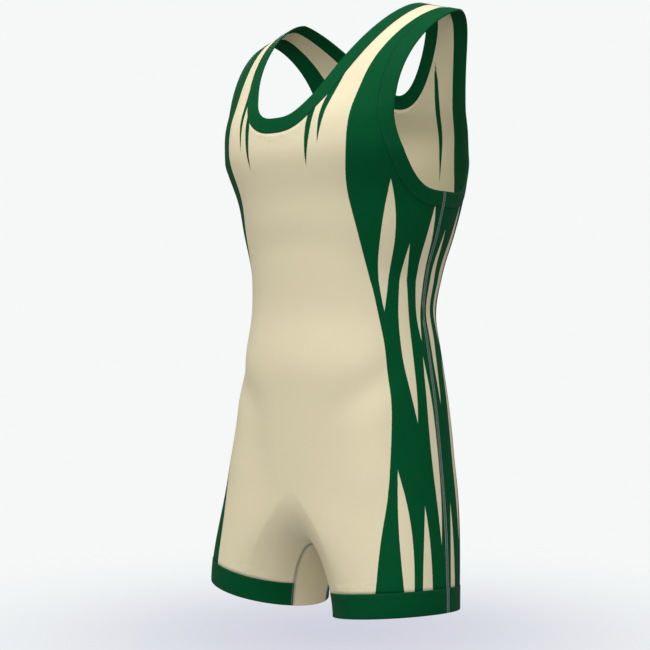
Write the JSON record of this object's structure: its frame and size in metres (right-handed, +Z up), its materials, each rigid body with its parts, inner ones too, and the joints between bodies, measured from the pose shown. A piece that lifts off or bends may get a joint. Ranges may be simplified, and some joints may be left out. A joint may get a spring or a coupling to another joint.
{
  "type": "wrestling singlet",
  "caption": "Close-fitting one-piece sleeveless sports suit with scooped neck, deep armholes, short legs and contrast edge bands, in the hollow form of a worn garment.",
  "frame": {"origin": "midway between the two shoulder straps, at the height of their undersides on top of the wearer's shoulders and 35 mm in front of the line where the straps are highest, which is about the middle of the garment's depth", "axes": "+Z up, the wearer faces -Y, +X towards the wearer's left"},
  "size_m": [0.3708, 0.2835, 0.7878],
  "materials": {
    "body_cloth": "cream stretch knit with printed dark green sides, soft sheen",
    "band_cloth": "dark green double stretch knit"
  },
  "bodies": {
    "root": {"front_panel": "body_cloth", "back_panel": "body_cloth", "crotch_gusset": "body_cloth", "neck_band_front": "band_cloth", "neck_band_back": "band_cloth", "armhole_band_front_left": "band_cloth", "armhole_band_front_right": "band_cloth", "armhole_band_back_left": "band_cloth", "armhole_band_back_right": "band_cloth", "hem_band_front_left": "band_cloth", "hem_band_front_right": "band_cloth", "hem_band_back_left": "band_cloth", "hem_band_back_right": "band_cloth"}
  },
  "joints": []
}
